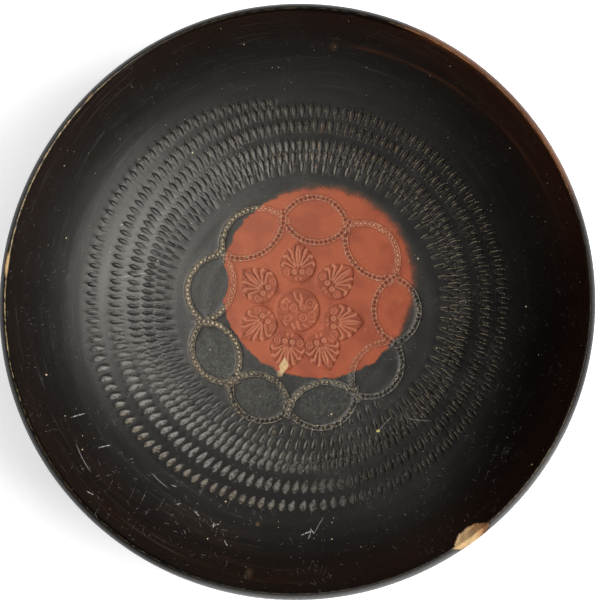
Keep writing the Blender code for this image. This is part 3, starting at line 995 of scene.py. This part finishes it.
def glaze_material():
    """Black gloss over red clay, with its red disc, its wear and its dirt, and painted shade and highlights
    on its relief.
    """
    material = bpy.data.materials.new("black_gloss")
    material.use_nodes = True
    paint = Painter(material.node_tree, "Object", 1.0 / MM)
    ramp, side, noise, mix, most = paint.ramp, paint.side, paint.noise, paint.mix, paint.most
    groove, bead, ridge, line, stamp, top, hollow, edge, lip, bare, inner = (
        paint.attribute(name) for name in MASKS)
    radius = paint.distance((0.0, 0.0))
    fine = noise(1.7, 9.0, 3.0, 0.65)
    film = noise(0.075, 12.0, 3.0, 0.6)
    patch = noise(0.75, 14.0, 2.0, 0.6)
    worn = ramp(patch, 0.32, 0.58)
    red, red_edge = (part * inner for part in red_disc(paint, fine))
    black = (1.0 - red) * inner
    left = side(165.0, -30.0, 30.0)

    # The glaze itself, warm or neutral in broad clouds
    colour = mix(ramp(film, 0.42, 0.66), GLAZE_DARK, GLAZE_WARM)

    # Brown where the firing let air in: streaks that follow the rim at the upper right
    streak = noise(1.0, 4.0, 3.0, 0.6, paint.polar((0.0, 0.0), 0.42, 2.2), True)
    brown = side(47.0, 90.0, 106.0) * ramp(streak, 0.42, 0.66) * 0.14
    on_shoulder = ramp(radius, 107.4, 108.2) * ramp(paint.z, 47.0, 59.0)
    shoulder = side(44.0, 97.0, 106.0) * on_shoulder * (0.55 + ramp(streak, 0.30, 0.55) * 0.4)
    ring_line = ramp(abs(paint.distance(RING_CENTRE) - RING_RADIUS), 0.9, 0.1) * side(55.0, 70.0, 96.0)
    ring_line = ring_line * ramp(streak, 0.3, 0.6) * 0.45
    rust = side(-115.0, 66.0, 92.0) * ramp(streak, 0.44, 0.70) * 0.25

    # A worn greyish film, thicker on the floor and towards the left
    left_link = ramp(paint.distance(LEFT_LINK_CENTRE), 17.0, 10.0)
    low_ground = side(-128.0, 34.0, 66.0)
    film_place = (ramp(film, 0.38, 0.70) * 0.6 + left_link * 0.5) * ramp(radius, 92.0, 60.0)
    haze = film_place * ramp(fine, 0.36, 0.66) * (1.0 - low_ground * 0.7)

    # Dust held in the links at the lower left and lower right
    dust_place = left_link * 0.35
    for middle, reach, full_within, share in DUST_PLACES:
        dust_place = most(dust_place, ramp(paint.distance(middle), reach, full_within) * share)
    veins = abs(noise(0.32, 31.0, 3.0, 0.75, flat=True) - 0.5)
    dust = dust_place * (ramp(veins, 0.035, 0.006) * 0.9 + 0.04) * inner
    for share, tint in ((most(brown, ring_line), GLAZE_BROWN), (shoulder, SHOULDER_BROWN), (rust, GLAZE_RUST),
                        (haze * 0.65, HAZE), (dust * 0.42, DUST)):
        colour = mix(share, colour, tint)

    # The red disc, a little paler towards the left, with painted shade in its stamped recesses, pits and
    # outlines, pale where its ridges and beads are worn, and a painted highlight on its stamped tops
    clay = mix(ramp(noise(0.09, 21.0, flat=True), 0.38, 0.66), RED_CLAY, RED_DEEP)
    clay = mix(ramp(fine, 0.56, 0.72) * 0.28 + left * 0.12, clay, RED_PALE)
    # Stamped tops paler as a painted highlight; ridges and beads paler where worn
    clay = mix(most(top * 0.40, ridge * ramp(patch, 0.30, 0.60) * 0.9, bead), clay, RED_PALE)
    # Painted shade in the stamped recesses, the chain's pits and its outlines
    stamp_painted_shade = stamp * (0.22 + ramp(patch, 0.4, 0.65) * 0.40)
    clay = mix(most(stamp_painted_shade, groove * 0.88, line * 0.85), clay, RED_SHADE)
    colour = mix(red, colour, clay)
    colour = mix(red_edge * (1.0 - red) * 0.9, colour, RED_EDGE)

    # Wear: beads, ridges and webs of the chain rub through to the buff clay
    colour = mix(ridge * worn * (0.80 - left * 0.26) * black, colour, mix(left, WEB, GOLD))
    colour = mix(groove * black * 0.95, colour, OLIVE)
    colour = mix(line * black * (1.0 - worn * 0.45), colour, OLIVE)
    bead_wear = bead * ramp(patch, 0.28, 0.56) * (0.40 + left * 0.40) * black
    crust = ramp(noise(1.0, 23.0, flat=True), 0.60, 0.70) * most(ridge, groove, bead)
    colour = mix(crust * 0.5, mix(bead_wear, colour, CREAM), CREAM)

    # Painted highlight: the stroke hollows at the lower left are painted pale grey, gold in the outer row, in
    # patches, standing in for the light they mirror
    painted_highlight_hollows = hollow * side(236.0, 38.0, 66.0)
    hollow_left = hollow * side(158.0, 30.0, 56.0) * (1.0 - painted_highlight_hollows)
    stroke_highlight_colour = mix(ramp(radius, 69.0, 76.0) * side(238.0, 60.0, 74.0), STROKE_HIGHLIGHT_GREY, STROKE_HIGHLIGHT_GOLD)
    colour = mix(painted_highlight_hollows * (0.10 + worn * 0.45), colour, stroke_highlight_colour)

    # Wear: the burrs of the strokes, golden at the top and pale at the right
    topmost = side(86.0, 38.0, 66.0)
    edge_place = side(-15.0, -30.0, 20.0) * 0.22 + topmost * 0.42 + side(4.0, 30.0, 62.0) * 0.16
    edge_wear = ramp(edge, 0.30, 0.80) * ramp(patch, 0.34, 0.58) * edge_place
    colour = mix(edge_wear, colour, mix(topmost, CREAM, GOLD))

    # Wear: the lip, most at the left, and orange at the upper right
    lip_side = 0.12 + side(165.0, 80.0, 102.0) * 0.9 + side(-38.0, 98.0, 107.0) * 0.4
    lip_noise = ramp(noise(0.42, 33.0, 3.0, 0.7), 0.42, 0.58)
    lip_wear = ramp(lip, 0.20, 0.80) * lip_noise * lip_side
    colour = mix(lip_wear, colour, BUFF)
    colour = mix(ramp(lip, 0.20, 0.70) * side(44.0, 94.0, 104.0) * (0.25 + lip_noise), colour, LIP_ORANGE)

    # Scratches and turning lines, most in the lower half
    where = black * (0.25 + side(-80.0, -10.0, 40.0) * 0.35 + side(-135.0, 20.0, 80.0) * 0.35)
    scratches = most(*(dashes(paint, *values) for values in DASHES)) * where * ramp(patch + film, 0.94, 1.12)
    for values in LONG_SCRATCHES:
        scratches = most(scratches, long_scratch(paint, *values, SCRATCH_WIDTH) * black * 0.8)
    arc_noise = noise(1.0, 57.0, 1.0, place=paint.polar(ARC_CENTRE, 0.9, 0.9), flat=True)
    arcs = ramp(abs(arc_noise - 0.5), 0.012, 0.003) * ramp(streak, 0.46, 0.56) * (0.04 + left * 0.09) * black
    colour = mix(most(scratches, arcs), colour, SCRATCH)
    marks = most(*(long_scratch(paint, *values, MARK_WIDTH) for values in BRIGHT_MARKS))
    colour = mix(marks * inner * ramp(fine, 0.36, 0.60), colour, MARK_GREY)

    # Pale specks, and one speck of lichen
    cluster = most(*(ramp(paint.distance(middle), reach, 0.4 * reach) for middle, reach in SPECK_CLUSTERS))
    pale = most(*(specks(paint, *values) for values in WIDE_SPECKS), specks(paint, *CLUSTER_SPECKS) * cluster)
    colour = mix(pale * inner * 0.9, colour, CREAM)
    colour = mix(ramp(paint.distance(LICHEN_PLACE) + patch, 1.35, 0.9), colour, LICHEN)

    # Bare clay where the lip is broken, and on the foot where it stands
    along_chip = paint.toward(36.2) + (patch - 0.5) * 9.0
    colour = mix(bare, colour, mix(ramp(along_chip, -1.5, 6.0), BARE_PALE, BARE_ORANGE))
    stands = ramp(paint.z, 0.9, 0.3) * ramp(patch, 0.30, 0.50)
    colour = mix(stands, colour, BARE_ORANGE)

    # Gloss: even on the glaze, dull on clay, dust and wear, and on the side away from the window
    matt = most(red, bare, stands, bead_wear, edge_wear, lip_wear, dust * 0.8)
    glaze_rough = GLAZE_ROUGH + film * 0.07 + haze * 0.08 - painted_highlight_hollows * 0.14
    dull_side = side(-22.0, 72.0, 96.0) * inner * ramp(paint.z, 60.5, 58.0)
    dull_shoulder = on_shoulder * side(-68.0, 92.0, 70.0)
    dull_ground = low_ground * inner * (1.0 - hollow)
    dull_chain = most(groove, line) * black
    specular = GLAZE_SPECULAR - matt * 0.24 - dull_side * 0.34 - dull_shoulder * 0.38 - hollow_left * 0.16
    specular = specular - dull_ground * 0.14 - dull_chain * 0.30

    # Fine grain of the surface
    grain = {"Strength": 1.0, "Distance": GRAIN_DEPTH * MM, "Height": fine + fine * bare * 1.5}
    shader = material.node_tree.nodes["Principled BSDF"]
    for name, value in (("Base Color", colour), ("Specular Tint", WARM_GLOSS),
                        ("Roughness", glaze_rough + matt * (CLAY_ROUGH - glaze_rough)),
                        ("Specular IOR Level", most(specular, LEAST_SPECULAR)),
                        ("Normal", paint.value("Normal", "Bump", grain))):
        paint.link(value, shader.inputs[name])
    return material


bowl.data.materials.append(glaze_material())
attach(bowl, "root")
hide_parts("bowl")


def area_light(name, direction, distance, width, height, radiance):
    """A soft rectangular light that faces the bowl, set by how bright its face looks."""
    light = bpy.data.lights.new(name, "AREA")
    light.shape = "RECTANGLE"
    light.size = width
    light.size_y = height
    light.energy = radiance * pi * width * height
    holder = add_object(name, light)
    azimuth, elevation = (radians(value) for value in direction)
    out = Vector((cos(elevation) * cos(azimuth), cos(elevation) * sin(azimuth), sin(elevation)))
    holder.location = out * distance + Vector((0.0, 0.0, 0.03))
    holder.rotation_euler = out.to_track_quat("Z", "Y").to_euler()


# Azimuth and elevation in degrees, distance, width and height in metres, brightness
area_light("side_softbox", (-8.0, 48.0), 1.3, 1.1, 0.67, 9.2)
area_light("upper_softbox", (-8.0, 74.0), 1.6, 0.6, 0.55, 2.6)
area_light("front_fill", (-90.0, 50.0), 2.4, 4.0, 4.0, 0.2)
area_light("back_fill", (90.0, 50.0), 2.4, 4.0, 4.0, 0.32)

# The studio is darker near the horizon and towards the left
world = bpy.data.worlds.new("studio")
world.use_nodes = True
sky = Painter(world.node_tree, "Generated", 1.0)
left_share = sky.ramp(sky.x, *WORLD_FADE, WORLD_LEFT, 1.0)
brightness = sky.ramp(sky.z, *WORLD_RISE, WORLD_LOW, WORLD_HIGH) * left_share
background = world.node_tree.nodes["Background"]
sky.link(brightness, background.inputs["Strength"])
sky.link(WHITE, background.inputs["Color"])
bpy.context.scene.world = world

FLOOR_HALF = 3.0
FLOOR_LOOKS = {"Base Color": (*FLOOR_PALE, 1.0), "Roughness": 0.9, "Emission Color": (*WHITE, 1.0),
               "Emission Strength": 0.45}
floor_mesh = bpy.data.meshes.new("studio_floor")
floor_corners = [(x * FLOOR_HALF, y * FLOOR_HALF, 0) for x, y in ((-1, -1), (1, -1), (1, 1), (-1, 1))]
floor_mesh.from_pydata(floor_corners, [], [(0, 1, 2, 3)])
studio_floor = add_object("studio_floor", floor_mesh)
floor_material = bpy.data.materials.new("pale_floor")
floor_material.use_nodes = True
for name, value in FLOOR_LOOKS.items():
    floor_material.node_tree.nodes["Principled BSDF"].inputs[name].default_value = value
floor_mesh.materials.append(floor_material)

CAMERA_DISTANCE = 1.1
CAMERA_ELEVATION = radians(85.0)
SENSOR_WIDTH = 36.0
IMAGE_WIDTH = 596
BOWL_WIDTH_PIXELS = 597.4
camera_data = bpy.data.cameras.new("camera")
camera_data.sensor_fit = "HORIZONTAL"
camera_data.sensor_width = SENSOR_WIDTH
view_width = 2 * body_radius * MM * IMAGE_WIDTH / BOWL_WIDTH_PIXELS
camera_data.lens = SENSOR_WIDTH * CAMERA_DISTANCE / view_width
camera = add_object("camera", camera_data)
target = Vector((0.0002, 0.0, shoulder_height * MM))
back = Vector((0.0, -cos(CAMERA_ELEVATION), sin(CAMERA_ELEVATION)))
camera.location = target + CAMERA_DISTANCE * back
camera.rotation_euler = back.to_track_quat("Z", "Y").to_euler()
bpy.context.scene.camera = camera
bpy.context.scene.view_settings.view_transform = "Standard"
